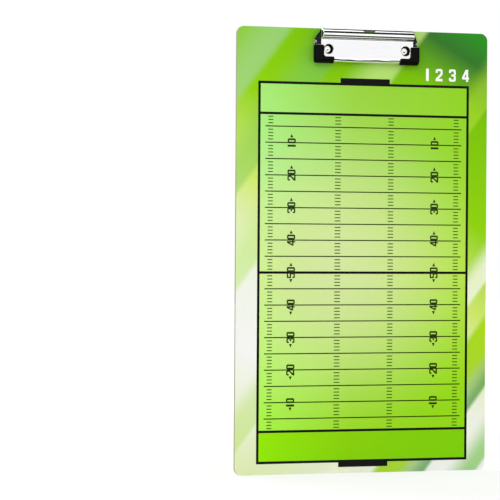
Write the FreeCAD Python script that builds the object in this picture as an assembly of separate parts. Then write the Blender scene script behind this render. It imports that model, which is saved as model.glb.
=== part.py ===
# Double-sided coach's clipboard: a laminated board with a flat spring clip riveted to its top.
# Millimetres. X to the right seen from the front, Z up along the board, the front faces -Y.
# The origin is the centre of the hang slot in the roll of the clip's jaw.
# A height is measured out of the board's front face, a drop is measured down from the board's top edge.

import os

import FreeCAD
import Part
from math import atan2, cos, degrees, pi, radians, sin, sqrt, tan

# Board
board_width = 228.6
board_length = 381.0
core_thickness = 2.8
sheet_thickness = 0.2
board_corner_radius = 6.35

# Jaw, pressed from one sheet
jaw_gauge = 0.8
jaw_width = 93.4
plate_height = 8.0
lip_drop = 29.1
lip_lean = 0.4
lip_bend_radius = 3.8
lip_clearance = 0.25
roll_drop = 0.8
roll_height = 13.0
roll_radius = 4.0
roll_foot_radius = 1.5
rear_edge_height = 6.5
shoulder_width = 5.0
shoulder_drop = 14.3
shoulder_foot_height = 4.6
shoulder_cove_radius = 1.6
shoulder_corner_drop = 8.9
flange_height = 1.05
flange_rise_drop = 11.1
jaw_edge_radius = 0.8

# Hang slot in the roll
slot_length = 12.6
slot_width = 5.4
slot_angle = radians(22.0)

# Pivot
pivot_drop = 11.6
pivot_height = 4.2
rod_diameter = 3.0
rod_end_inset = 0.3
rod_end_bevel = 0.5
rod_clearance = 0.05

# Base plate under the jaw
base_gauge = 1.0
base_side_gap = 0.7
base_front_drop = 23.0
base_rear_drop = 2.0
base_corner_radius = 3.0
ear_width = 6.4
ear_round_radius = 2.4

# Rivets
rivet_inset = 6.0
rivet_drop = 17.9
rivet_diameter = 4.0
rivet_clearance = 0.05
rivet_head_diameter = 7.6
rivet_head_height = 1.1
rivet_head_flat_diameter = 5.0
rivet_rim_height = 0.25
rivet_dimple_diameter = 2.4
rivet_dimple_depth = 0.6
rivet_clinch_diameter = 6.0
rivet_clinch_flat_diameter = 5.2
rivet_clinch_height = 3.0
rivet_clinch_rim_height = 2.5
rivet_clinch_dimple_depth = 0.2
access_hole_diameter = 8.2
access_mouth_radius = 0.45

# Torsion springs on the rod
spring_wire = 1.0
spring_clearance = 0.2
spring_pitch = 1.5
spring_turns = 4
spring_wire_sides = 8
spring_ear_gap = 0.6
lower_leg_length = 6.0
lower_leg_slope = radians(4.6)
upper_leg_length = 5.5
upper_leg_slope = radians(8.0)

# Soft corner grips
grip_wall = 1.2
grip_lining = 0.8
grip_side_width = 8.3
grip_front_reach = 17.6
grip_front_depth = 4.7
grip_foot_height = 5.2
grip_end_gap = 0.2
grip_inner_radius = 2.0
grip_arm_radius = 1.2

# How far a cutting body runs past what it cuts, and below what a measure counts as none
overrun = 6.0
tiny = 0.001

# Places worked out from the sizes above
half_board = board_width / 2
half_jaw = jaw_width / 2
half_roll = half_jaw - shoulder_width
half_base = half_roll - base_side_gap
half_rod = half_jaw - rod_end_inset
lip_zone_drop = lip_drop - lip_lean
lip_angle = atan2(plate_height - lip_clearance, lip_lean)
flange_front_drop = lip_zone_drop - lip_bend_radius
roll_centre_drop = roll_drop + roll_radius
roll_centre_height = roll_height - roll_radius
slot_sheet_radius = roll_radius - jaw_gauge / 2
slot_height = roll_centre_height + slot_sheet_radius * sin(slot_angle)
slot_drop = roll_centre_drop - slot_sheet_radius * cos(slot_angle)
rivet_places = (rivet_inset - half_base, half_base - rivet_inset)
coil_radius = rod_diameter / 2 + spring_clearance + spring_wire / 2
across = FreeCAD.Vector(1, 0, 0)
outward = FreeCAD.Vector(0, -1, 0)
upward = FreeCAD.Vector(0, 0, 1)


def at(x, drop, height):
    """The point of the part's frame at x, a drop below the top edge and a height off the front face."""
    return FreeCAD.Vector(x, slot_height - height, slot_drop - drop)


def face_of(edges):
    return Part.Face(Part.Wire(edges))


def polygon(points):
    return Part.Face(Part.makePolygon(points + points[:1]))


def arc(centre, radius, first, last):
    """A circular edge in the side view, from one direction to another by way of their middle."""
    middle = (first + last).normalize()
    ends = [centre + direction * radius for direction in (first, middle, last)]
    return Part.Arc(*ends).toShape()


def side_direction(angle):
    """The direction at an angle from straight up the board towards straight out of its face."""
    return upward * cos(angle) + outward * sin(angle)


def cylinder(x, drop, height, diameter, length, axis):
    return Part.makeCylinder(diameter / 2, length, at(x, drop, height), axis)


def uprights(prism, feet=None):
    """A prism's edges that stand off the board, all or those that rise from given corners of its foot."""
    standing = [edge for edge in prism.Edges if edge.BoundBox.YLength > tiny]
    if feet is None:
        return standing
    chosen = []
    for edge in standing:
        if min(foot.distanceToPoint(vertex.Point) for foot in feet for vertex in edge.Vertexes) < tiny:
            chosen.append(edge)
    return chosen


def rounded_panel(left, right, top_drop, bottom_drop, back_height, front_height, radius):
    """A flat panel with rounded corners, from one height off the front face to another."""
    panel = polygon([
        at(left, top_drop, back_height),
        at(right, top_drop, back_height),
        at(right, bottom_drop, back_height),
        at(left, bottom_drop, back_height),
    ]).extrude(outward * (front_height - back_height))
    return panel.makeFillet(radius, uprights(panel))


def rivet_holes(diameter, back_height, front_height):
    length = front_height - back_height
    return [cylinder(x, rivet_drop, back_height, diameter, length, outward) for x in rivet_places]


def board_layer(back_height, front_height):
    panel = rounded_panel(-half_board, half_board, 0, board_length, back_height, front_height,
                          board_corner_radius)
    hole = rivet_diameter + 2 * rivet_clearance
    return panel.cut(rivet_holes(hole, back_height - overrun, front_height + overrun))


def lip_skin(inset):
    """The lip's line and its bend into the plate, drawn in by the inset from the outer faces."""
    bend_drop = lip_zone_drop - lip_bend_radius * tan(lip_angle / 2)
    bend_centre = at(0, bend_drop, plate_height - lip_bend_radius)
    bend = arc(bend_centre, lip_bend_radius - inset, side_direction(lip_angle + pi / 2), outward)
    bend_start = bend.firstVertex(True).Point
    lip_end = bend_start - side_direction(lip_angle) * ((plate_height + overrun) / sin(lip_angle))
    return [Part.makeLine(lip_end, bend_start), bend]


def roll_skin(inset):
    """The roll: a hollow foot out of the plate, then over the crest and down to the rear."""
    centre = at(0, roll_centre_drop, roll_centre_height)
    foot_rise = plate_height + roll_foot_radius - roll_centre_height
    foot_run = sqrt((roll_radius + roll_foot_radius)**2 - foot_rise**2)
    foot_centre = at(0, roll_centre_drop + foot_run, plate_height + roll_foot_radius)
    foot_to_roll = (centre - foot_centre).normalize()
    return [
        arc(foot_centre, roll_foot_radius + inset, -outward, foot_to_roll),
        arc(centre, roll_radius - inset, -foot_to_roll, outward),
        arc(centre, roll_radius - inset, outward, upward),
    ]


def closed_profile(skin):
    """The side view under a skin, closed behind it and far below it."""
    lip_end = skin[0].firstVertex(True).Point
    rear = skin[-1].lastVertex(True).Point
    rear_end = FreeCAD.Vector(rear.x, lip_end.y, rear.z)
    return face_of(skin + [Part.makeLine(rear, rear_end), Part.makeLine(rear_end, lip_end)])


def jaw_profile(inset):
    lip = lip_skin(inset)
    roll = roll_skin(inset)
    plate = Part.makeLine(lip[-1].lastVertex(True).Point, roll[0].firstVertex(True).Point)
    return closed_profile(lip + [plate] + roll)


def corner_profile(inset):
    """The jaw's side view without its roll: the plate runs on up to the shoulder."""
    lip = lip_skin(inset)
    plate = Part.makeLine(lip[-1].lastVertex(True).Point, at(0, shoulder_drop, plate_height - inset))
    return closed_profile(lip + [plate])


def shoulder_wedge(side, inset):
    """What is cut away beside the roll: upright at its end, then through a cove into a slope to the foot."""
    lean = atan2(shoulder_width, plate_height - shoulder_foot_height)
    drop = shoulder_drop + inset
    wall_normal = across * side
    slope_normal = wall_normal * cos(lean) + outward * sin(lean)
    both = wall_normal + slope_normal
    centre = at(side * half_roll, drop, plate_height) + both * (shoulder_cove_radius / (1 + cos(lean)))
    cove = arc(centre, shoulder_cove_radius + inset, -wall_normal, -slope_normal)
    wall_foot = cove.firstVertex(True).Point
    slope_top = cove.lastVertex(True).Point
    slope = outward * -cos(lean) + wall_normal * sin(lean)
    slope_foot = slope_top + slope * ((plate_height + overrun) / cos(lean))
    wall_top = wall_foot + outward * (roll_height + overrun)
    outer = wall_normal * (jaw_width + overrun)
    section = face_of([
        Part.makeLine(wall_top, wall_foot),
        cove,
        Part.makeLine(slope_top, slope_foot),
        Part.makeLine(slope_foot, slope_foot + outer),
        Part.makeLine(slope_foot + outer, wall_top + outer),
        Part.makeLine(wall_top + outer, wall_top),
    ])
    return section.extrude(upward * (drop + overrun))


def is_level(face):
    """Whether a face runs straight across the clip, as the jaw's skin does."""
    low_u, high_u, low_v, high_v = face.ParameterRange
    normal = face.normalAt((low_u + high_u) / 2, (low_v + high_v) / 2)
    return abs(normal.dot(across)) < tiny


def end_edges(solid, step_drop):
    """The edges at the two ends of a skin, apart from those in the step beside the roll and at the foot."""
    step_z = at(0, step_drop, 0).z
    foot_y = at(0, 0, 0).y
    chosen = []
    for edge in solid.Edges:
        box = edge.BoundBox
        in_step = max(abs(box.ZMin - step_z), abs(box.ZMax - step_z)) < tiny
        at_foot = box.YMin > foot_y
        faces = solid.ancestorsOfType(edge, Part.Face)
        if not in_step and not at_foot and [is_level(face) for face in faces].count(True) == 1:
            chosen.append(edge)
    return chosen


def skin_solid(profile, inset, wedges):
    """A profile drawn across the clip, with its ends rounded like a bend in the sheet."""
    half_width = half_jaw - inset
    solid = profile.translated(across * -half_width).extrude(across * (2 * half_width))
    if wedges:
        solid = solid.cut(wedges)
    radius = jaw_edge_radius - inset
    if radius > 0:
        solid = solid.makeFillet(radius, end_edges(solid, shoulder_drop + inset))
    return solid


def jaw_envelope(inset):
    """The solid under the jaw's skin, drawn in by the inset."""
    wedges = [shoulder_wedge(side, inset) for side in (-1, 1)]
    return skin_solid(jaw_profile(inset), inset, wedges)


def corner_envelope(inset):
    """The same at the jaw's front corners, where a negative inset swells it."""
    return skin_solid(corner_profile(inset), inset, [])


def jaw_trim():
    """The side view that the jaw keeps: its lower edge runs level and then rises to the roll's rear edge."""
    top = roll_height + overrun
    return polygon([
        at(-half_jaw, lip_drop + overrun, lip_clearance),
        at(-half_jaw, flange_front_drop, lip_clearance),
        at(-half_jaw, flange_front_drop, flange_height),
        at(-half_jaw, flange_rise_drop, flange_height),
        at(-half_jaw, roll_drop, rear_edge_height),
        at(-half_jaw, -overrun, rear_edge_height),
        at(-half_jaw, -overrun, top),
        at(-half_jaw, lip_drop + overrun, top),
    ]).extrude(across * jaw_width)


def shoulder_corner(side):
    """What is cut off a shoulder, seen from the front: a slant from the roll's end to the flange."""
    beyond = side * (half_jaw + overrun)
    return polygon([
        at(side * half_roll, roll_drop, 0),
        at(side * half_jaw, shoulder_corner_drop, 0),
        at(beyond, shoulder_corner_drop, 0),
        at(beyond, -overrun, 0),
        at(side * half_roll, -overrun, 0),
    ]).extrude(outward * (roll_height + overrun))


def corner_notch(side):
    """The lip and the side flange stop short inside a grip, which closes under them."""
    inner = half_jaw + grip_wall - grip_front_reach
    return polygon([
        at(side * inner, shoulder_drop, -overrun),
        at(side * (half_jaw + overrun), shoulder_drop, -overrun),
        at(side * (half_jaw + overrun), lip_drop + overrun, -overrun),
        at(side * inner, lip_drop + overrun, -overrun),
    ]).extrude(outward * (grip_foot_height + grip_wall + overrun))


def hang_slot():
    """A round-ended slot through the back of the roll, square to its sheet."""
    normal = side_direction(slot_angle)
    start = at(0, roll_centre_drop, roll_centre_height)
    depth = roll_radius + overrun
    half_span = across * ((slot_length - slot_width) / 2)
    half_rise = side_direction(slot_angle + pi / 2) * (slot_width / 2)
    ends = [Part.makeCylinder(slot_width / 2, depth, start + half_span * side, normal) for side in (-1, 1)]
    middle = polygon([
        start - half_span - half_rise,
        start + half_span - half_rise,
        start + half_span + half_rise,
        start - half_span + half_rise,
    ]).extrude(normal * depth)
    return middle.fuse(ends)


def rod_hole():
    diameter = rod_diameter + 2 * rod_clearance
    return cylinder(-half_jaw - overrun, pivot_drop, pivot_height, diameter, jaw_width + 2 * overrun, across)


def mouth_edges(sheet):
    """The rims of the access holes in the plate's outer face."""
    rim_y = at(0, 0, plate_height).y
    chosen = []
    for edge in sheet.Edges:
        box = edge.BoundBox
        in_face = max(abs(box.YMin - rim_y), abs(box.YMax - rim_y)) < tiny
        if in_face and isinstance(edge.Curve, Part.Circle) and edge.Curve.Radius < access_hole_diameter:
            chosen.append(edge)
    return chosen


def clip_jaw():
    sheet = jaw_envelope(0).cut(jaw_envelope(jaw_gauge))
    sheet = sheet.common(jaw_trim())
    access = rivet_holes(access_hole_diameter, plate_height - overrun, plate_height + overrun)
    notches = [corner_notch(side) for side in (-1, 1)]
    corners = [shoulder_corner(side) for side in (-1, 1)]
    sheet = sheet.cut(access + notches + corners + [hang_slot(), rod_hole()])
    return sheet.makeFillet(access_mouth_radius, mouth_edges(sheet))


def grip_outline(side):
    """The L that a grip covers, seen from the front, rounded in its corner and at its arm ends."""
    outer = side * (half_jaw + grip_wall)
    side_inner = outer - side * grip_side_width
    front_inner = outer - side * grip_front_reach
    lowest = lip_drop + grip_wall + overrun
    arm_drop = lip_drop - grip_front_depth
    end_drop = shoulder_drop + grip_end_gap
    side_end = at(side_inner, end_drop, grip_foot_height)
    corner = at(side_inner, arm_drop, grip_foot_height)
    front_end = at(front_inner, arm_drop, grip_foot_height)
    prism = polygon([
        at(outer, end_drop, grip_foot_height),
        side_end,
        corner,
        front_end,
        at(front_inner, lowest, grip_foot_height),
        at(outer, lowest, grip_foot_height),
    ]).extrude(outward * (roll_height + overrun))
    prism = prism.makeFillet(grip_inner_radius, uprights(prism, [corner]))
    return prism.makeFillet(grip_arm_radius, uprights(prism, [side_end, front_end]))


def grip(side, jaw):
    cap = corner_envelope(-grip_wall).cut(corner_envelope(jaw_gauge + grip_lining))
    return cap.common(grip_outline(side)).cut(jaw)


def base_ear(side):
    """An ear turned up from the plate's end, round about the pivot."""
    x = side * (half_base - base_gauge)
    half = ear_width / 2
    disc = Part.makeCylinder(ear_round_radius, base_gauge, at(x, pivot_drop, pivot_height), across * side)
    rise = pivot_height - base_gauge
    lean = atan2(half - ear_round_radius, rise)
    up = ear_round_radius * sin(lean)
    out = ear_round_radius * cos(lean)
    web = polygon([
        at(x, pivot_drop - half, 0),
        at(x, pivot_drop - half, base_gauge),
        at(x, pivot_drop - out, pivot_height + up),
        at(x, pivot_drop + out, pivot_height + up),
        at(x, pivot_drop + half, base_gauge),
        at(x, pivot_drop + half, 0),
    ]).extrude(across * (side * base_gauge))
    return web.fuse(disc)


def clip_base():
    plate = rounded_panel(-half_base, half_base, base_rear_drop, base_front_drop, 0, base_gauge,
                          base_corner_radius)
    plate = plate.fuse([base_ear(side) for side in (-1, 1)]).removeSplitter()
    holes = rivet_holes(rivet_diameter + 2 * rivet_clearance, -overrun, base_gauge + overrun)
    return plate.cut(holes + [rod_hole()])


def pivot_rod():
    rod = cylinder(-half_rod, pivot_drop, pivot_height, rod_diameter, 2 * half_rod, across)
    return rod.makeChamfer(rod_end_bevel, [rod.Edges[0], rod.Edges[2]])


def rivet(x):
    """A turned solid: a head on the back, a shank and a clinched end on the base plate, both dimpled."""
    back = -core_thickness - 2 * sheet_thickness
    crown = back - rivet_head_height
    top = base_gauge + rivet_clinch_height
    half_section = [
        (0, crown + rivet_dimple_depth),
        (rivet_dimple_diameter / 2, crown),
        (rivet_head_flat_diameter / 2, crown),
        (rivet_head_diameter / 2, back - rivet_rim_height),
        (rivet_head_diameter / 2, back),
        (rivet_diameter / 2, back),
        (rivet_diameter / 2, base_gauge),
        (rivet_clinch_diameter / 2, base_gauge),
        (rivet_clinch_diameter / 2, base_gauge + rivet_clinch_rim_height),
        (rivet_clinch_flat_diameter / 2, top),
        (rivet_dimple_diameter / 2, top),
        (0, top - rivet_clinch_dimple_depth),
    ]
    section = polygon([at(x + radius, rivet_drop, height) for radius, height in half_section])
    return section.revolve(at(x, rivet_drop, 0), outward, degrees(2 * pi))


def biarc(start, heading, end, last_heading):
    """Two tangent arcs from a point and heading to another point and heading."""
    span = end - start
    both = heading + last_heading
    a = 2 * (heading.dot(last_heading) - 1)
    b = -2 * span.dot(both)
    c = span.dot(span)
    reach = (-b - sqrt(b * b - 4 * a * c)) / (2 * a)
    first_corner = start + heading * reach
    last_corner = end - last_heading * reach
    joint = (first_corner + last_corner) / 2
    edges = []
    for low, corner, high in ((start, first_corner, joint), (joint, last_corner, end)):
        weight = (corner - low).normalize().dot((high - low).normalize())
        middle = (low + corner * (2 * weight) + high) / (2 + 2 * weight)
        edges.append(Part.Arc(low, middle, high).toShape())
    return edges


def spring(side):
    """A torsion spring: a leg on the base plate, a coil on the rod and a leg under the jaw behind the pivot.

    Its wire has flats, which keep a piece this small light to draw.
    """
    first = -pi / 2 - lower_leg_slope
    last = pi / 2 + upper_leg_slope - 2 * pi * (spring_turns + 1)
    halves = 2 * spring_turns + 1
    start_x = half_base - base_gauge - spring_ear_gap - spring_wire / 2
    lead = spring_pitch / (2 * pi)

    def station(share):
        angle = first + (last - first) * share
        x = side * (start_x - lead * (first - angle))
        centre = at(x, pivot_drop, pivot_height)
        place = centre + side_direction(angle) * coil_radius
        turning = side_direction(angle - pi / 2) * coil_radius - across * (side * lead)
        return place, turning.normalize()

    stations = [station(step / halves) for step in range(halves + 1)]
    coil_start, first_heading = stations[0]
    coil_end, last_heading = stations[-1]
    leg_start = coil_start - first_heading * lower_leg_length
    leg_end = coil_end + last_heading * upper_leg_length
    edges = [Part.makeLine(leg_start, coil_start)]
    for (low, low_heading), (high, high_heading) in zip(stations, stations[1:]):
        edges += biarc(low, low_heading, high, high_heading)
    edges.append(Part.makeLine(coil_end, leg_end))
    path = Part.Wire(edges)
    first_side = first_heading.cross(outward).normalize()
    last_side = first_heading.cross(first_side)
    ring = []
    for corner in range(spring_wire_sides + 1):
        turn = 2 * pi * corner / spring_wire_sides
        ring.append(leg_start + (first_side * cos(turn) + last_side * sin(turn)) * (spring_wire / 2))
    section = Part.makePolygon(ring)
    print("spring gap to itself", round(spring_gap(path), 3))
    return path.makePipeShell([section], True, False)


def spring_gap(path):
    """The least gap between a spring's turns, measured on points along its wire."""
    count = 60 * spring_turns
    points = path.discretize(Number=count)
    near = int(count * pi * coil_radius / path.Length)
    least = path.Length
    for low in range(count):
        for high in range(low + near, count):
            least = min(least, points[low].distanceToPoint(points[high]))
    return least - spring_wire


def build():
    jaw = clip_jaw()
    sheet_back = -sheet_thickness
    core_back = sheet_back - core_thickness
    return {
        "board_core": board_layer(core_back, sheet_back),
        "front_sheet": board_layer(sheet_back, 0),
        "back_sheet": board_layer(core_back - sheet_thickness, core_back),
        "clip_base": clip_base(),
        "clip_jaw": jaw,
        "pivot_rod": pivot_rod(),
        "left_spring": spring(-1),
        "right_spring": spring(1),
        "left_grip": grip(-1, jaw),
        "right_grip": grip(1, jaw),
        "left_rivet": rivet(rivet_places[0]),
        "right_rivet": rivet(rivet_places[1]),
    }


os.makedirs("parts", exist_ok=True)
for name, shape in build().items():
    (solid,) = shape.Solids
    print(name, solid.isValid(), round(solid.Volume, 2))
    solid.exportStep(f"parts/{name}.step")
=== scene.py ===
# Tactics board: printed film on both faces, ink lines, chromed clip with black vinyl grips.
# Everything is in metres in the CAD frame; print sizes are millimetres from the middle of the board.
import math
import bmesh
import bpy
from mathutils import Matrix, Vector


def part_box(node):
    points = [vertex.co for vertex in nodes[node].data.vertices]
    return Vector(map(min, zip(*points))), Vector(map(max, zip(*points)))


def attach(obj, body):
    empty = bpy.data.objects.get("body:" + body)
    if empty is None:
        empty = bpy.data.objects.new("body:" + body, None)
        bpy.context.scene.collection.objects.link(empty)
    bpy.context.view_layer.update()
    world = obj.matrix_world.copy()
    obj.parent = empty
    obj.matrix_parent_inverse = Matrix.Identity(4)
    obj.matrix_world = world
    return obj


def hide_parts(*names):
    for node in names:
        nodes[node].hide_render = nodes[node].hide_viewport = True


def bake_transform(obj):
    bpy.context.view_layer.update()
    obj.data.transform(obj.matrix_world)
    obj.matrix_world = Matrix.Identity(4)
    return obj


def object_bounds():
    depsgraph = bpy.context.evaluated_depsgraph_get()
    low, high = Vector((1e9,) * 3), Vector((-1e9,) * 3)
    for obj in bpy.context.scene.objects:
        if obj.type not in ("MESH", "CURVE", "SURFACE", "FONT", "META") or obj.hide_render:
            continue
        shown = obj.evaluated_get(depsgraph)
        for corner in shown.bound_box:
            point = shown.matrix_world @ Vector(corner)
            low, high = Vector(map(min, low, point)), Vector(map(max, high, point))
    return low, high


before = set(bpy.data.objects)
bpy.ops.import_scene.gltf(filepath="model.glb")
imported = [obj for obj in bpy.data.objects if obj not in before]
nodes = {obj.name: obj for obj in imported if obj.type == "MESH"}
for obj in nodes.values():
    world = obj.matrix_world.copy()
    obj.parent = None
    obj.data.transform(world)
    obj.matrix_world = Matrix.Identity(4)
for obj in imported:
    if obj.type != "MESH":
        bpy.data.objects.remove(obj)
cadLow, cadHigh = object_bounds()
mm = 0.001
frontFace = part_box("front_sheet")[0].y
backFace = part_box("back_sheet")[1].y
boardMid = Vector((0, 0, (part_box("front_sheet")[0].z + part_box("front_sheet")[1].z) / 2))
print("frame:", len(nodes), "CAD nodes, board middle at z", round(boardMid.z, 5))


def linear(hexColour):
    parts = [int(hexColour[i:i + 2], 16) / 255 for i in (1, 3, 5)]
    return (*[c / 12.92 if c <= 0.04045 else ((c + 0.055) / 1.055) ** 2.4 for c in parts], 1)


def addNode(tree, kind, links=None, stops=(), **settings):
    node = tree.nodes.new("ShaderNode" + kind)
    for name, value in settings.items():
        setattr(node, name, value)
    for socket, value in (links or {}).items():
        if isinstance(value, bpy.types.NodeSocket):
            tree.links.new(value, node.inputs[socket])
        else:
            node.inputs[socket].default_value = value
    for place, hexColour in stops:  # only a colour ramp has stops
        ends = node.color_ramp.elements
        stop = ends[-1] if place == stops[-1][0] else ends[0] if place == stops[0][0] else ends.new(place)
        stop.position, stop.color = place, linear(hexColour)
    return node


def newMaterial(name, **plain):
    material = bpy.data.materials.new(name)
    material.use_nodes = True
    shader = material.node_tree.nodes["Principled BSDF"]
    for socket, value in plain.items():
        shader.inputs[socket.replace("_", " ")].default_value = value
    return material, material.node_tree, shader


# A pattern gives the surface its colours through a ramp, and its roughness between two values
def coat(tree, shader, pattern, stops, gloss):
    colour = addNode(tree, "ValToRGB", {0: pattern}, stops=stops).outputs[0]
    rough = addNode(tree, "MapRange", {"Value": pattern, "To Min": gloss[0], "To Max": gloss[1]}).outputs[0]
    tree.links.new(colour, shader.inputs["Base Color"])
    tree.links.new(rough, shader.inputs["Roughness"])
    return colour, rough


def dress(material, *names):
    for name in names:
        for place in nodes[name].material_slots:
            place.material = material


def addToScene(thing):
    bpy.context.scene.collection.objects.link(thing)


frontPrint = {
    "facing": 1,
    "sweep": (0.5, 0.87), "sweepFrom": -210, "sweepTo": 215,  # from white, lower left, to dark green
    "sweepStops": [(0, "#E3EEBC"), (0.2, "#F6F6F5"), (0.33, "#F0F3E6"), (0.5, "#CFE86E"), (0.66, "#8ED004"),
                   (0.86, "#78C000"), (0.95, "#34742A"), (1, "#2C8E20")],
    "bandRun": (0.79, -0.61),  # across the bands
    "bands": [  # near and far edge, softness of each edge, colour, strength
        ((90, 106), (8, 2), "#F2F6DC", 0.8),
        ((124, 150), (3, 9), "#A8D800", 0.95),
        ((150, 162), (10, 2), "#3F9A00", 0.8),
        ((184, 200), (10, 2), "#6EC40A", 0.7),
        ((-8, 14), (9, 2), "#B2E034", 0.45),
        # The bands from here on lie at the upper left, and their paleness is partly painted sheen of the lamps on the
        # gloss
        ((-96, -70), (14, 3), "#C6EA86", 0.7),
        ((-146, -120), (14, 3), "#7CC65A", 0.5),
        ((-196, -168), (20, 4), "#A8D294", 0.55)],
    "panels": [{  # the pitch; its lower end zone is deeper up to its line; its pale middle and its paler left side are partly painted sheen and glare of the lamps on the gloss
        "left": -94.25, "right": 96.1, "bottom": -180.1, "top": 143.4,
        "stops": [(0, "#94EC00"), (0.079, "#98EA00"), (0.083, "#ACF648"), (0.14, "#AEF650"), (0.5, "#CDFF82"),
                  (0.78, "#AFF18C"), (1, "#A6EA75")],
        "sideStops": [(0, "#FFFFFF"), (0.45, "#ECE594"), (1, "#DCE354")],
        "paintedGlareAt": (-26, -14), "paintedGlareReach": (158, 148), "paintedGlare": "#D4E7A0", "paintedGlarePart": 1.0}],
}
backPrint = {
    "facing": -1,
    "sweep": (0.35, 0.94), "sweepFrom": -150, "sweepTo": 215,
    "sweepStops": [(0, "#F4F8E4"), (0.22, "#F7F8F6"), (0.36, "#EEF4D4"), (0.46, "#C8E450"), (0.58, "#A0D404"),
                   (0.72, "#58BC00"), (0.87, "#26881A"), (1, "#14560C")],
    "bandRun": (0.84, -0.54),
    "bands": [
        ((128, 170), (10, 6), "#7AC60A", 0.95),
        ((98, 110), (8, 2), "#E6F0A6", 0.8),
        ((20, 40), (10, 2), "#66C00A", 0.7),
        ((-92, -76), (10, 3), "#A6DC20", 0.55),
        ((-178, -152), (14, 3), "#2E961E", 0.45)],
    "panels": [{  # the play area, then the notes over it
        "left": -88.6, "right": 91.6, "bottom": -184.4, "top": 82,
        "stops": [(0, "#E0EC94"), (0.1, "#E1EDA8"), (0.25, "#E2ECB7"), (0.5, "#DFE9B5"), (1, "#DAE8B3")],
        "sideStops": [(0, "#FFFFFF"), (0.42, "#EFF9D0"), (0.72, "#E4F1B5"), (1, "#E6F2B6")],
        "paintedGlareAt": (-60, -60), "paintedGlareReach": (120, 190), "paintedGlare": "#E2EDBE", "paintedGlarePart": 0.4}, {
        "left": -88.6, "right": 91.6, "bottom": 82, "top": 151,
        "stops": [(0, "#F0F0F0"), (1, "#F1F1F1")],
        "sideStops": [(0, "#FFFFFF"), (1, "#F4F4F4")],
        "paintedGlareAt": (-50, 120), "paintedGlareReach": (140, 90), "paintedGlare": "#F4F5F4", "paintedGlarePart": 0.5}],
}
film = {
    "ior": 1.5, "shine": 0.08, "gloss": (0.20, 0.29),  # a gloss is the roughness, from and to
    "ripple": 2.6, "rippleBump": 0.04, "rippleHigh": 0.05,
    "grain": 0.45, "grainPart": 0.05,  # coarser than the real dots of the print, so that it shows
}


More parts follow.
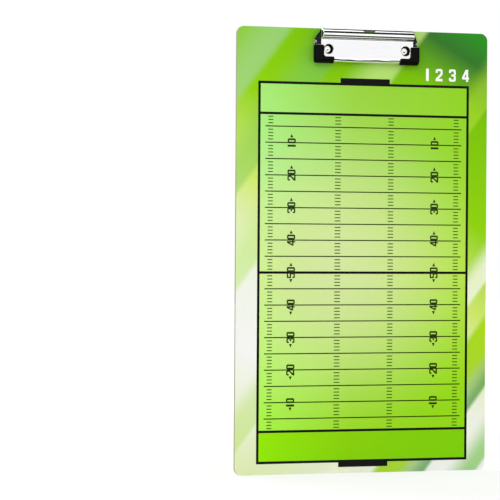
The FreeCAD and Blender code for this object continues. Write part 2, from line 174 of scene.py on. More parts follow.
# Polyester film, printed and hot-laminated: even gloss with a faint ripple from the roller, colour in soft blends
def laminatedFilm(name, look):
    material, tree, shader = newMaterial(name, IOR=film["ior"], Specular_IOR_Level=film["shine"])
    place = addNode(tree, "TexCoord").outputs["Object"]
    flat = addNode(tree, "VectorMath", {0: place, 1: boardMid}, operation="SUBTRACT").outputs[0]
    reading = (look["facing"] / mm, 0, 1 / mm)  # millimetres, from left to right as this face is read
    spot = addNode(tree, "VectorMath", {0: flat, 1: reading}, operation="MULTIPLY").outputs[0]
    axes = addNode(tree, "SeparateXYZ", {0: spot}).outputs

    # Border: one sweep of colour over the whole face, with soft bands laid on it
    (sweepX, sweepZ), (bandX, bandZ) = look["sweep"], look["bandRun"]
    run = addNode(tree, "VectorMath", {0: spot, 1: (sweepX, 0, sweepZ)}, operation="DOT_PRODUCT").outputs["Value"]
    part = addNode(tree, "MapRange", {"Value": run, "From Min": look["sweepFrom"],
                                      "From Max": look["sweepTo"]}).outputs[0]
    colour = addNode(tree, "ValToRGB", {0: part}, stops=look["sweepStops"]).outputs[0]
    run = addNode(tree, "VectorMath", {0: spot, 1: (bandX, 0, bandZ)}, operation="DOT_PRODUCT").outputs["Value"]
    for (near, far), (softNear, softFar), hexColour, strength in look["bands"]:
        rise = addNode(tree, "MapRange", {"Value": run, "From Min": near - softNear, "From Max": near + softNear,
                                          "To Max": strength}, interpolation_type="SMOOTHSTEP").outputs[0]
        fall = addNode(tree, "MapRange", {"Value": run, "From Min": far - softFar, "From Max": far + softFar,
                                          "To Min": 1, "To Max": 0}, interpolation_type="SMOOTHSTEP").outputs[0]
        amount = addNode(tree, "Math", {0: rise, 1: fall}, operation="MULTIPLY").outputs[0]
        colour = addNode(tree, "Mix", {0: amount, 6: colour, 7: linear(hexColour)}, data_type="RGBA").outputs[2]

    # Panels: a blend upwards times a blend across, with a round pale spot in it that is a painted glare of the lamps
    # on the gloss
    for panel in look["panels"]:
        height = addNode(tree, "MapRange", {"Value": axes["Z"], "From Min": panel["bottom"],
                                            "From Max": panel["top"]}).outputs[0]
        tone = addNode(tree, "ValToRGB", {0: height}, stops=panel["stops"]).outputs[0]
        across = addNode(tree, "MapRange", {"Value": axes["X"], "From Min": panel["left"],
                                            "From Max": panel["right"]}).outputs[0]
        aside = addNode(tree, "ValToRGB", {0: across}, stops=panel["sideStops"]).outputs[0]
        tone = addNode(tree, "VectorMath", {0: tone, 1: aside}, operation="MULTIPLY").outputs[0]
        # Painted glare: a pale round spot where the lamps would shine on the gloss
        (paintedGlareX, paintedGlareZ), (reachX, reachZ) = panel["paintedGlareAt"], panel["paintedGlareReach"]
        away = addNode(tree, "VectorMath", {0: spot, 1: (paintedGlareX, 0, paintedGlareZ)}, operation="SUBTRACT").outputs[0]
        away = addNode(tree, "VectorMath", {0: away, 1: (1 / reachX, 0, 1 / reachZ)}, operation="MULTIPLY").outputs[0]
        far = addNode(tree, "VectorMath", {0: away}, operation="LENGTH").outputs["Value"]
        paintedGlare = addNode(tree, "MapRange", {"Value": far, "From Min": 0, "From Max": 1, "To Min": panel["paintedGlarePart"],
                                          "To Max": 0}, interpolation_type="SMOOTHSTEP").outputs[0]
        tone = addNode(tree, "Mix", {0: paintedGlare, 6: tone, 7: linear(panel["paintedGlare"])}, data_type="RGBA").outputs[2]
        inside = None
        for axis, low, high in (("X", panel["left"], panel["right"]), ("Z", panel["bottom"], panel["top"])):
            for edge, side in ((low, "GREATER_THAN"), (high, "LESS_THAN")):
                within = addNode(tree, "Math", {0: axes[axis], 1: edge}, operation=side).outputs[0]
                inside = within if inside is None else addNode(
                    tree, "Math", {0: inside, 1: within}, operation="MULTIPLY").outputs[0]
        colour = addNode(tree, "Mix", {0: inside, 6: colour, 7: tone}, data_type="RGBA").outputs[2]

    grain = addNode(tree, "TexNoise", {"Vector": spot, "Scale": 1 / film["grain"], "Detail": 2}).outputs[0]
    dull = addNode(tree, "MapRange", {"Value": grain, "To Min": 1 - film["grainPart"], "To Max": 1}).outputs[0]
    colour = addNode(tree, "VectorMath", {0: colour, "Scale": dull}, operation="SCALE").outputs[0]
    tree.links.new(colour, shader.inputs["Base Color"])
    ripple = addNode(tree, "TexNoise", {"Vector": spot, "Scale": 1 / film["ripple"], "Detail": 1}).outputs[0]
    rough = addNode(tree, "MapRange", {"Value": ripple, "To Min": film["gloss"][0],
                                       "To Max": film["gloss"][1]}).outputs[0]
    tree.links.new(rough, shader.inputs["Roughness"])
    bump = addNode(tree, "Bump", {"Height": ripple, "Strength": film["rippleBump"],
                                  "Distance": film["rippleHigh"] * mm}).outputs[0]
    tree.links.new(bump, shader.inputs["Normal"])
    return material


dress(laminatedFilm("laminatedFilmFront", frontPrint), "front_sheet")
dress(laminatedFilm("laminatedFilmBack", backPrint), "back_sheet")
print("print: two laminated films")

ink = {
    "thick": 0.03, "sunk": 0.01, "weld": 0.002,
    "mottle": 0.7, "gloss": (0.21, 0.28),  # mottle coarser than the real mesh of the screen, so that it shows
    "dense": 0.3, "thin": 0.7,  # parts of the mottle at which the ink has its full colour and its paler one
}


# Screen ink under the laminate: dense colour, very slightly uneven, with the film's own gloss
def screenInk(name, hexColour, paler):
    material, tree, shader = newMaterial(name, IOR=film["ior"], Specular_IOR_Level=film["shine"])
    place = addNode(tree, "TexCoord").outputs["Object"]
    mottle = addNode(tree, "TexNoise", {"Vector": place, "Scale": 1 / (ink["mottle"] * mm), "Detail": 3}).outputs[0]
    coat(tree, shader, mottle, [(ink["dense"], hexColour), (ink["thin"], paler)], ink["gloss"])
    return material


blackInk = screenInk("screenInkBlack", "#0A0A0B", "#101011")
lineInk = screenInk("screenInkLine", "#142604", "#1C2E08")
# The numbers' ink is paler than the lines' ink, partly as painted sheen of the lamps on the gloss
numberInkPaintedSheen = screenInk("screenInkNumberPaintedSheen", "#22380C", "#2A4010")
markInk = screenInk("screenInkMark", "#34520C", "#405E14")
whiteInk = screenInk("screenInkWhite", "#F4F4F2", "#FAFAF8")
playerInk = screenInk("screenInkPlayer", "#688A5C", "#6E9163")


def rectangle(left, bottom, right, top):
    return [(left, bottom), (right, bottom), (right, top), (left, top)]


def circle(x, z, radius, count=48):
    turns = [2 * math.pi * i / count for i in range(count)]
    return [(x + radius * math.cos(a), z + radius * math.sin(a)) for a in turns]


# Outlines lie flat on a curve that fills them, one inside another being a hole, then become a thin closed mesh
def inkPiece(name, outlines, facing, material, lift=0.0):
    curve = bpy.data.curves.new(name, "CURVE")
    curve.dimensions, curve.fill_mode = "2D", "BOTH"
    curve.extrude = ink["thick"] / 2 * mm
    for outline in outlines:
        spline = curve.splines.new("POLY")
        spline.points.add(len(outline) - 1)
        for point, (x, z) in zip(spline.points, outline):
            point.co = (x * mm, z * mm, 0, 1)
        spline.use_cyclic_u = True
    drawn = bpy.data.objects.new(name + "Curve", curve)
    addToScene(drawn)
    mesh = bpy.data.meshes.new_from_object(drawn.evaluated_get(bpy.context.evaluated_depsgraph_get()))
    bpy.data.objects.remove(drawn)
    level = (ink["thick"] / 2 - ink["sunk"] + lift) * mm
    face = frontFace if facing > 0 else backFace
    mesh.transform(Matrix(((facing, 0, 0, 0), (0, 0, -facing, face - facing * level),
                           (0, 1, 0, boardMid.z), (0, 0, 0, 1))))
    shape = bmesh.new()
    shape.from_mesh(mesh)
    bmesh.ops.remove_doubles(shape, verts=shape.verts, dist=ink["weld"] * mm)
    bmesh.ops.recalc_face_normals(shape, faces=shape.faces)
    shape.to_mesh(mesh)
    shape.free()
    mesh.name = name
    mesh.materials.clear()
    mesh.materials.append(material)
    piece = bpy.data.objects.new(name, mesh)
    addToScene(piece)
    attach(piece, "board")


# Block numerals: width, then outlines on a grid
gridHigh = 7
numerals = {
    "0": (4.1, [[(0.8, 0), (3.3, 0), (4.1, 0.8), (4.1, 6.2), (3.3, 7), (0.8, 7), (0, 6.2), (0, 0.8)],
                [(1.5, 1.2), (2.6, 1.2), (2.6, 5.8), (1.5, 5.8)]]),
    "1": (2.1, [[(0.1, 0), (1.8, 0), (1.8, 7), (0.1, 7)]]),
    "2": (4.2, [[(0, 0), (4.2, 0), (4.2, 1.3), (1.8, 1.3), (4.2, 3.9), (4.2, 6.3), (3.5, 7), (0.7, 7), (0, 6.3),
                 (0, 4.8), (1.2, 4.8), (1.2, 5.8), (3, 5.8), (3, 4.4), (0, 1.4)]]),
    "3": (4.2, [[(0.7, 0), (3.5, 0), (4.2, 0.7), (4.2, 3), (3.7, 3.5), (4.2, 4), (4.2, 6.3), (3.5, 7), (0.7, 7),
                 (0, 6.3), (0, 4.9), (1.2, 4.9), (1.2, 5.8), (3, 5.8), (3, 4.1), (1.5, 4.1), (1.5, 2.9), (3, 2.9),
                 (3, 1.2), (1.2, 1.2), (1.2, 2.1), (0, 2.1), (0, 0.7)]]),
    "4": (4.2, [[(2.5, 0), (3.7, 0), (3.7, 1.4), (4.2, 1.4), (4.2, 2.6), (3.7, 2.6), (3.7, 7), (2.2, 7), (0, 2.7),
                 (0, 1.4), (2.5, 1.4)], [(1.3, 2.6), (2.5, 2.6), (2.5, 4.9)]]),
    "5": (4.2, [[(0.7, 0), (3.5, 0), (4.2, 0.7), (4.2, 3.8), (3.5, 4.5), (1.2, 4.5), (1.2, 5.8), (4, 5.8), (4, 7),
                 (0, 7), (0, 3.3), (3, 3.3), (3, 1.2), (1.2, 1.2), (1.2, 2.1), (0, 2.1), (0, 0.7)]]),
}


# A number centred at x, z; onSide turns it a quarter turn so that it reads upwards, stretch widens its digits
def number(text, x, z, high, gap, onSide, stretch=1.0):
    unit = high / gridHigh
    step = unit * stretch
    start = -(sum(numerals[digit][0] for digit in text) * step + (len(text) - 1) * gap) / 2
    outlines = []
    for digit in text:
        width, drawn = numerals[digit]
        for outline in drawn:
            spots = [(start + u * step, v * unit - high / 2) for u, v in outline]
            outlines.append([(x - v, z + u) if onSide else (x + u, z + v) for u, v in spots])
        start += width * step + gap
    return outlines


pitch = {
    "left": -94.25, "right": 96.1, "top": 143.4, "bottom": -180.1, "frameWide": 2.2, "bold": 2.1,
    "goalTop": 117.25, "goalBottom": -153.75, "middle": -18.3,
    "lines": 9, "step": 13.84, "thin": 0.95, "reach": (-88.8, 90.4),  # thin lines on each side of the middle
    "columns": [(-86.3, -81.8), (-26.0, -20.8), (22.5, 27.5), (83.2, 87.8)], "mark": 0.85, "marks": 5,
    "numbers": 4, "numberEvery": 2,  # numbers on each side of the middle, on every second line
    "numberMid": 50, "numberStep": 10, "numberLift": 0.01,
    "numbersAt": (-65.2, 65.4), "digitHigh": 7.3, "digitGap": 0.8,
    "arrowGap": 0.8, "arrowLong": 3.0, "arrowWide": 2.8,
    "tabMid": 1.1, "tabHalf": 22.5, "tab": 4.0,
}
edge, bold = pitch["frameWide"] / 2, pitch["bold"] / 2
crossings = [pitch["bottom"], pitch["goalBottom"], pitch["middle"], pitch["goalTop"], pitch["top"]]
fields = [rectangle(pitch["left"] - edge, pitch["bottom"] - edge, pitch["right"] + edge, pitch["top"] + edge)]
for low, high in zip(crossings, crossings[1:]):
    fields.append(rectangle(pitch["left"] + edge, low + (edge if low == pitch["bottom"] else bold),
                            pitch["right"] - edge, high - (edge if high == pitch["top"] else bold)))
inkPiece("pitchFrame", fields, 1, blackInk)

yardLines = [pitch["middle"] + i * pitch["step"] for i in range(-pitch["lines"], pitch["lines"] + 1) if i]
inkPiece("yardLines", [rectangle(pitch["reach"][0], z - pitch["thin"] / 2, pitch["reach"][1], z + pitch["thin"] / 2)
                       for z in yardLines], 1, lineInk)

rows = sorted(yardLines + [pitch["middle"], pitch["goalTop"], pitch["goalBottom"]])
marks = []
for low, high in zip(rows, rows[1:]):
    count = round((high - low) * pitch["marks"] / pitch["step"])
    for i in range(1, count):
        z = low + (high - low) * i / count
        marks += [rectangle(left, z - pitch["mark"] / 2, right, z + pitch["mark"] / 2)
                  for left, right in pitch["columns"]]
inkPiece("hashMarks", marks, 1, markInk)

# Each arrow points to the nearer goal line, and the middle number has one each way
yardNumbers, arrows = [], []
half = pitch["arrowWide"] / 2
for i in range(-pitch["numbers"], pitch["numbers"] + 1):
    z = pitch["middle"] + pitch["numberEvery"] * i * pitch["step"]
    text = str(pitch["numberMid"] - pitch["numberStep"] * abs(i))
    for x in pitch["numbersAt"]:
        drawn = number(text, x, z, pitch["digitHigh"], pitch["digitGap"], True)
        yardNumbers += drawn
        for turn in (math.copysign(1, i),) if i else (1, -1):
            near = max(turn * v for outline in drawn for u, v in outline) * turn + turn * pitch["arrowGap"]
            arrows.append([(x - half, near), (x + half, near), (x, near + turn * pitch["arrowLong"])])
inkPiece("yardNumbers", yardNumbers, 1, numberInkPaintedSheen, lift=pitch["numberLift"])
inkPiece("yardArrows", arrows, 1, numberInkPaintedSheen)
tabs = [(pitch["top"] + edge, pitch["top"] + edge + pitch["tab"]),
        (pitch["bottom"] - edge - pitch["tab"], pitch["bottom"] - edge)]
inkPiece("goalTabs", [rectangle(pitch["tabMid"] - pitch["tabHalf"], low, pitch["tabMid"] + pitch["tabHalf"], high)
                      for low, high in tabs], 1, blackInk)

periods = {"text": "1234", "x": 77, "z": 153.4, "digitHigh": 10.6, "digitGap": 6.0}
inkPiece("periodNumbers", number(periods["text"], periods["x"], periods["z"], periods["digitHigh"],
                                 periods["digitGap"], False), 1, whiteInk)
print("front ink: pitch with", len(yardLines), "thin lines and", len(marks), "marks")

notes = {
    "left": -88.6, "right": 91.6, "top": 151, "bottom": -184.4, "wide": 2.25, "split": 82,
    "dash": 4.5, "dashPitch": 8.33, "dashWide": 2.1, "dashX": 0.5,
    "playerX": 10.4, "playerRadius": 6.2, "outline": 1.6, "players": [-21.9, -36.9, -67.5, -82.7],
    "crossAt": (10.4, -52.3), "openAt": (25.2, -52.3), "crossArm": 5.2, "crossWide": 1.5,
}
edge, left, right = notes["wide"] / 2, notes["left"], notes["right"]
inkPiece("notesFrame", [
    rectangle(left - edge, notes["bottom"] - edge, right + edge, notes["top"] + edge),
    rectangle(left + edge, notes["bottom"] + edge, right - edge, notes["split"] - edge),
    rectangle(left + edge, notes["split"] + edge, right - edge, notes["top"] - edge)], -1, blackInk)

# The first dash starts under the split line, the last one ends at the frame
dashes, z, half = [], notes["split"], notes["dashWide"] / 2
while z > notes["bottom"] + edge:
    low = max(z - notes["dash"] / 2, notes["bottom"] + edge)
    high = min(z + notes["dash"] / 2, notes["split"] - edge)
    dashes.append(rectangle(notes["dashX"] - half, low, notes["dashX"] + half, high))
    z -= notes["dashPitch"]
inkPiece("scrimmageDashes", dashes, -1, blackInk)

spots = [(notes["playerX"], z) for z in notes["players"]]
ring = notes["outline"] / 2
outlines = []
for x, z in spots + [notes["crossAt"], notes["openAt"]]:
    outlines += [circle(x, z, notes["playerRadius"] + ring), circle(x, z, notes["playerRadius"] - ring)]
inkPiece("playerOutlines", outlines, -1, blackInk)
inkPiece("playerFills", [circle(x, z, notes["playerRadius"] - ring) for x, z in spots], -1, playerInk)
arm, thick = notes["crossArm"], notes["crossWide"] / 2
plus = [(arm, -thick), (arm, thick), (thick, thick), (thick, arm), (-thick, arm), (-thick, thick),
        (-arm, thick), (-arm, -thick), (-thick, -thick), (-thick, -arm), (thick, -arm), (thick, -thick)]
lean = math.sqrt(0.5)  # an eighth of a turn makes the plus a cross
inkPiece("playerCross", [[(notes["crossAt"][0] + (u - v) * lean, notes["crossAt"][1] + (u + v) * lean)
                          for u, v in plus]], -1, blackInk)

# Score tables: a solid head cell, a head column open on its outer side, and columns that stay open at the bottom
score = {
    "rule": 0.85, "rowLift": 0.004, "halfway": 130.2, "bottom": 85.0,
    "tables": [
        {"columns": [9.8, 16.7, 24.2, 34.3], "rows": [112.1, 117.8, 124.5, 130.2, 135.8, 142.4, 148.2]},
        {"columns": [41.0, 47.9, 55.7, 63.8, 72.1, 79.9, 87.9], "rows": [112.1, 130.2, 148.2]}],
    "countTo": 3, "digitHigh": 3.9, "digitStretch": 1.35,  # the first table's cells count 1 to 3 in each half
}
rule, bottom = score["rule"] / 2, score["bottom"]
uprights, levels = [], []
for table in score["tables"]:
    head, body, *others = table["columns"]
    low, top = table["rows"][0], table["rows"][-1]
    uprights.append([(head - rule, bottom), (body + rule, bottom), (body + rule, top),
                     (body - rule, top), (body - rule, low), (head - rule, low)])
    uprights += [rectangle(x - rule, bottom, x + rule, top) for x in others]
    for z in table["rows"]:
        first = head if z in (score["halfway"], top) else body
        levels.append(rectangle(first - rule, z - rule, others[-1] + rule, z + rule))
inkPiece("tableColumns", uprights, -1, blackInk)
inkPiece("tableRows", levels, -1, blackInk, lift=score["rowLift"])
counts = []
columns, rows = score["tables"][0]["columns"], score["tables"][0]["rows"]
for left, right in zip(columns[1:], columns[2:]):
    for i, (low, high) in enumerate(zip(rows, rows[1:])):
        counts += number(str(i % score["countTo"] + 1), (left + right) / 2, (low + high) / 2, score["digitHigh"],
                         0, True, score["digitStretch"])
inkPiece("countNumbers", counts, -1, blackInk)
print("back ink: notes frame,", len(dashes), "dashes and", len(score["tables"]), "tables")

chrome = {
    "stops": [(0.3, "#F3F4F5"), (0.6, "#FAFAFB")], "gloss": (0.02, 0.10),
    "haze": (9, 0.5, 0.5), "hazeBump": 0.02, "hazeHigh": 0.02,  # polishing lines, coarser than real to show
    "wave": 13, "swell": (0.05, 2.0), "bend": (0.2, 4.0),  # pressing leaves the lip bend a little wavy
    "roll": 4.0, "rollReach": 4.2, "inward": 0.5,  # the roll's radius, and which faces count as its inside
    "hollow": "#2C2D2F", "hollowRoughness": 0.45,  # inside the roll the chrome hardly reaches, so it stays dull there, and its colour is darkened as painted shade
}


# Bright chrome on a pressed steel jaw: polished before plating, so a mirror with faint polishing haze
def brightChrome():
    material, tree, shader = newMaterial("brightChrome", Metallic=1.0)
    coords = addNode(tree, "TexCoord").outputs
    place = coords["Object"]
    low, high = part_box("clip_jaw")
    axis = Vector((0, low.y, high.z)) + chrome["roll"] * mm * Vector((0, 1, -1))
    spoke = addNode(tree, "VectorMath", {0: place, 1: (0, 1, 1), 2: -axis}, operation="MULTIPLY_ADD").outputs[0]
    reach = addNode(tree, "VectorMath", {0: spoke}, operation="LENGTH").outputs["Value"]
    turned = addNode(tree, "VectorMath", {0: spoke, 1: coords["Normal"]}, operation="DOT_PRODUCT").outputs["Value"]
    inward = addNode(tree, "Math", {0: turned, 1: -chrome["inward"] * mm}, operation="LESS_THAN").outputs[0]
    close = addNode(tree, "Math", {0: reach, 1: chrome["rollReach"] * mm}, operation="LESS_THAN").outputs[0]
    hollow = addNode(tree, "Math", {0: inward, 1: close}, operation="MULTIPLY").outputs[0]

    along = addNode(tree, "Mapping", {"Vector": place, "Scale": [1 / (size * mm) for size in chrome["haze"]]})
    haze = addNode(tree, "TexNoise", {"Vector": along.outputs[0], "Scale": 1, "Detail": 3}).outputs[0]
    colour, rough = coat(tree, shader, haze, chrome["stops"], chrome["gloss"])
    # Inside the roll the colour is darkened: painted shade
    colour = addNode(tree, "Mix", {0: hollow, 6: colour, 7: linear(chrome["hollow"])}, data_type="RGBA").outputs[2]
    tree.links.new(colour, shader.inputs["Base Color"])
    rough = addNode(tree, "Mix", {0: hollow, 2: rough, 3: chrome["hollowRoughness"]}).outputs[0]
    tree.links.new(rough, shader.inputs["Roughness"])

    wave = addNode(tree, "TexNoise", {"Vector": place, "Scale": 1 / (chrome["wave"] * mm), "Detail": 0}).outputs[0]
    (calm, strong), (nearBend, farBend) = chrome["swell"], chrome["bend"]
    swell = addNode(tree, "MapRange", {"Value": addNode(tree, "SeparateXYZ", {0: place}).outputs["Z"],
                                       "From Min": low.z + farBend * mm, "From Max": low.z + nearBend * mm,
                                       "To Min": calm * mm, "To Max": strong * mm},
                    interpolation_type="SMOOTHSTEP").outputs[0]
    wave = addNode(tree, "Math", {0: wave, 1: 0.5}, operation="SUBTRACT").outputs[0]  # about the true surface
    wavy = addNode(tree, "Math", {0: wave, 1: swell}, operation="MULTIPLY").outputs[0]
    sway = addNode(tree, "Bump", {"Height": wavy, "Strength": 1.0, "Distance": 1.0}).outputs[0]
    bump = addNode(tree, "Bump", {"Height": haze, "Strength": chrome["hazeBump"],
                                  "Distance": chrome["hazeHigh"] * mm, "Normal": sway}).outputs[0]
    tree.links.new(bump, shader.inputs["Normal"])
    return material


rod = {
    "stops": [(0, "#AEB0B3"), (1, "#C6C8CA")], "gloss": (0.22, 0.34),
    "spangle": 1.2,  # drawn coarser than real, so that it shows
}


# Zinc plate on a cold drawn rod: bright grey satin with crystal spangle
def zincPlate():
    material, tree, shader = newMaterial("zincPlate", Metallic=1.0)
    place = addNode(tree, "TexCoord").outputs["Object"]
    spangle = addNode(tree, "TexVoronoi", {"Vector": place, "Scale": 1 / (rod["spangle"] * mm)}).outputs["Color"]
    tone = addNode(tree, "SeparateColor", {0: spangle}).outputs[0]
    coat(tree, shader, tone, rod["stops"], rod["gloss"])
    return material


strip = {
    # Dark greys as painted shade under the jaw
    "stops": [(0.3, "#28292B"), (0.7, "#3A3B3D")], "gloss": (0.34, 0.52),
    "crystal": 0.35,  # drawn coarser than real, so that it shows
}


# Zinc on the base strip, given a dark grey that is painted shade under the jaw and in the rivet holes; dull and
# fine-grained
def zincPaintedShade():
    material, tree, shader = newMaterial("zincPaintedShade", Metallic=1.0)
    place = addNode(tree, "TexCoord").outputs["Object"]
    crystal = addNode(tree, "TexNoise", {"Vector": place, "Scale": 1 / (strip["crystal"] * mm), "Detail": 4})
    coat(tree, shader, crystal.outputs[0], strip["stops"], strip["gloss"])
    return material


rivet = {"stops": [(0.3, "#E8E6E1"), (0.6, "#F6F5F2")], "gloss": (0.07, 0.22), "tumble": 0.5}


# Nickel-plated rivets: barrel tumbled, so bright with small dull touches
def brightNickel():
    material, tree, shader = newMaterial("brightNickel", Metallic=1.0)
    place = addNode(tree, "TexCoord").outputs["Object"]
    touch = addNode(tree, "TexNoise", {"Vector": place, "Scale": 1 / (rivet["tumble"] * mm), "Detail": 3})
    coat(tree, shader, touch.outputs[0], rivet["stops"], rivet["gloss"])
    return material


grip = {
    "ior": 1.53, "shine": 0.08, "stops": [(0.35, "#040405"), (0.7, "#09090A")], "gloss": (0.39, 0.55),
    "skin": 0.6, "skinBump": 0.25, "skinHigh": 0.08,
}


# Dip-moulded vinyl: black, softly shiny, with the slight orange peel of a cured skin
def dippedVinyl():
    material, tree, shader = newMaterial("dippedVinyl", IOR=grip["ior"], Specular_IOR_Level=grip["shine"])
    place = addNode(tree, "TexCoord").outputs["Object"]
    skin = addNode(tree, "TexNoise", {"Vector": place, "Scale": 1 / (grip["skin"] * mm), "Detail": 3}).outputs[0]
    coat(tree, shader, skin, grip["stops"], grip["gloss"])
    bump = addNode(tree, "Bump", {"Height": skin, "Strength": grip["skinBump"], "Distance": grip["skinHigh"] * mm})
    tree.links.new(bump.outputs[0], shader.inputs["Normal"])
    return material


core = {
    "ior": 1.45, "roughness": 0.75, "stops": [(0.3, "#8C8270"), (0.62, "#B8AE9C")],
    "strand": (1.4, 0.35, 1.4), "strandBump": 0.5, "strandHigh": 0.1,
}


# Hardboard: pressed wood fibre, sawn at the edge, so matt beige with short darker strands lying along the panel
def hardboard():
    material, tree, shader = newMaterial("hardboard", Roughness=core["roughness"], IOR=core["ior"])
    place = addNode(tree, "TexCoord").outputs["Object"]
    lie = addNode(tree, "Mapping", {"Vector": place, "Scale": [1 / (size * mm) for size in core["strand"]]})
    strand = addNode(tree, "TexNoise", {"Vector": lie.outputs[0], "Scale": 1, "Detail": 5}).outputs[0]
    colour = addNode(tree, "ValToRGB", {0: strand}, stops=core["stops"]).outputs[0]
    tree.links.new(colour, shader.inputs["Base Color"])
    bump = addNode(tree, "Bump", {"Height": strand, "Strength": core["strandBump"],
                                  "Distance": core["strandHigh"] * mm}).outputs[0]
    tree.links.new(bump, shader.inputs["Normal"])
    return material


dress(brightChrome(), "clip_jaw")
dress(zincPaintedShade(), "clip_base")
dress(zincPlate(), "pivot_rod")
dress(brightNickel(), "left_rivet", "right_rivet")
dress(dippedVinyl(), "left_grip", "right_grip")
dress(hardboard(), "board_core")
print("materials on the clip and the board edge")

coil = {
    "wire": 1.0, "sides": {"left_spring": -1, "right_spring": 1},  # the legs' gauge, and where outwards is in x
    "stops": [(0.3, "#6C6D71"), (0.7, "#85868A")], "gloss": (0.20, 0.38),
    "fleck": 0.25,  # drawn coarser than real, so that it shows
}


# Music wire: drawn through dies, so dark grey and finely flecked, with a soft shine
def musicWire():
    material, tree, shader = newMaterial("musicWire", Metallic=1.0)
    place = addNode(tree, "TexCoord").outputs["Object"]
    fleck = addNode(tree, "TexNoise", {"Vector": place, "Scale": 1 / (coil["fleck"] * mm), "Detail": 4}).outputs[0]
    coat(tree, shader, fleck, coil["stops"], coil["gloss"])
    return material


# In the clip each spring stays with the board at its outer leg, goes with the jaw at its inner leg, and winds up in
# between; here its wire is a still copy of the part's mesh in music wire, shown in place of the part
springSteel = musicWire()
for name, side in coil["sides"].items():
    mesh = nodes[name].data.copy()
    mesh.materials.clear()
    mesh.materials.append(springSteel)
    spring = bpy.data.objects.new(name.split("_")[0] + "SpringWire", mesh)
    addToScene(spring)
    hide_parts(name)
    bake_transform(spring)
print("springs:", len(coil["sides"]), "wires that twist with the jaw")

lens = {"at": (-0.70030, -1.91011, -0.17712), "turn": (89.682, -0.3644, -17.3067), "focal": 170.89, "sensor": 36}
camera = bpy.data.objects.new("camera", bpy.data.cameras.new("camera"))
addToScene(camera)
camera.location = lens["at"]
camera.rotation_euler = [math.radians(a) for a in lens["turn"]]
camera.data.lens, camera.data.sensor_width = lens["focal"], lens["sensor"]
bpy.context.scene.camera = camera

# Pale floor, white surround, soft lamps, and dark cards that only the chrome sees
studio = {
    "sky": 0.66, "white": 1.0,
    "floor": "#E9E9E7", "floorSeen": "#949493", "floorWide": 10.0, "lift": (0.7, 1.0), "fade": (0.35, 1.4),
    "lamps": [  # place, size and power of a lamp that faces the board
        ("keyLamp", (-1.3, -2.2, 1.3), 1.8, 26),
        ("fillLamp", (1.8, -1.2, 0.5), 1.6, 8),
        ("rearLamp", (-0.8, 2.3, 1.5), 1.8, 32),
        ("topLamp", (0.2, -0.1, 2.0), 1.4, 6)],
    "cards": [  # place, width and height of a card that faces the clip, and its grey
        ("topCard", (0.22, -0.71, 0.51), (1.6, 0.66), 0.006),
        ("lowCard", (0.06, -0.19, -0.28), (1.0, 0.24), 0.08),
        ("leftCard", (-0.62, -0.51, -0.01), (0.6, 0.5), 0.006),
        ("rightCard", (0.8, -0.07, -0.01), (0.6, 0.5), 0.006),
        ("foreCard", (0.72, -0.46, 0.0), (0.5, 0.5), 0.006),
        ("sideCard", (-0.85, 0.0, 0.05), (0.5, 0.5), 0.006),
        ("overCard", (0.3, 0.42, 0.62), (1.6, 0.9), 0.02)],
}


def flatSheet(name, wide, high):
    mesh = bpy.data.meshes.new(name)
    corners = [(x * wide / 2, y * high / 2, 0) for x, y in ((-1, -1), (1, -1), (1, 1), (-1, 1))]
    mesh.from_pydata(corners, [], [(0, 1, 2, 3)])
    sheet = bpy.data.objects.new(name, mesh)
    addToScene(sheet)
    return sheet


# Rays that show the surround itself: to the camera, in metal or through glass
def shownRays(tree):
    ray = addNode(tree, "LightPath").outputs
    shown = addNode(tree, "Math", {0: ray["Is Camera Ray"], 1: ray["Is Glossy Ray"]}, operation="MAXIMUM").outputs[0]
    return addNode(tree, "Math", {0: shown, 1: ray["Is Transmission Ray"]}, operation="MAXIMUM").outputs[0]


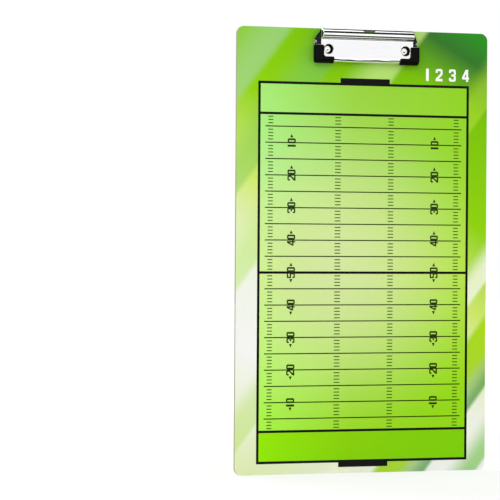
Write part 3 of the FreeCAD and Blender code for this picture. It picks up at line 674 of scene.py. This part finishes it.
# Painted floor that keeps the shadow near the board and fades to the white surround away from it
def paleFloor():
    material = bpy.data.materials.new("paleFloor")
    material.use_nodes = True
    tree = material.node_tree
    tree.nodes.remove(tree.nodes["Principled BSDF"])
    shown = shownRays(tree)
    place = addNode(tree, "TexCoord").outputs["Object"]
    away = addNode(tree, "VectorMath", {0: place}, operation="LENGTH").outputs["Value"]
    lift = addNode(tree, "MapRange", {"Value": away, "From Min": studio["fade"][0], "From Max": studio["fade"][1],
                                      "To Min": studio["lift"][0], "To Max": studio["lift"][1]},
                   interpolation_type="SMOOTHSTEP").outputs[0]
    paint = addNode(tree, "BsdfDiffuse", {"Color": linear(studio["floor"])}).outputs[0]
    dim = addNode(tree, "BsdfDiffuse", {"Color": linear(studio["floorSeen"])}).outputs[0]
    white = addNode(tree, "Emission", {"Strength": lift}).outputs[0]
    both = addNode(tree, "AddShader", {0: dim, 1: white}).outputs[0]
    surface = addNode(tree, "MixShader", {0: shown, 1: paint, 2: both}).outputs[0]
    tree.links.new(surface, tree.nodes["Material Output"].inputs["Surface"])
    return material


floor = flatSheet("floor", studio["floorWide"], studio["floorWide"])
floor.location.z = cadLow.z
floor.data.materials.append(paleFloor())

for name, place, (wide, high), grey in studio["cards"]:
    card = flatSheet(name, wide, high)
    card.location = place
    card.rotation_euler = (-Vector(place)).to_track_quat("-Z", "Y").to_euler()
    card.data.materials.append(newMaterial(name, Roughness=1.0, Base_Color=(grey, grey, grey, 1))[0])
    card.visible_camera = card.visible_diffuse = card.visible_shadow = card.visible_transmission = False

for name, place, size, power in studio["lamps"]:
    lamp = bpy.data.lights.new(name, "AREA")
    lamp.size, lamp.energy = size, power
    stand = bpy.data.objects.new(name, lamp)
    stand.location = place
    stand.rotation_euler = (boardMid - Vector(place)).to_track_quat("-Z", "Y").to_euler()
    addToScene(stand)

world = bpy.data.worlds.new("studioWorld")
bpy.context.scene.world = world
world.use_nodes = True
tree = world.node_tree
soft = addNode(tree, "Background", {"Color": linear("#FFFFFF"), "Strength": studio["sky"]}).outputs[0]
white = addNode(tree, "Background", {"Color": linear("#FFFFFF"), "Strength": studio["white"]}).outputs[0]
mixed = addNode(tree, "MixShader", {0: shownRays(tree), 1: soft, 2: white}).outputs[0]
tree.links.new(mixed, tree.nodes["World Output"].inputs["Surface"])

bpy.context.scene.view_settings.view_transform = "Standard"
print("studio: floor,", len(studio["lamps"]), "lamps and", len(studio["cards"]), "cards")
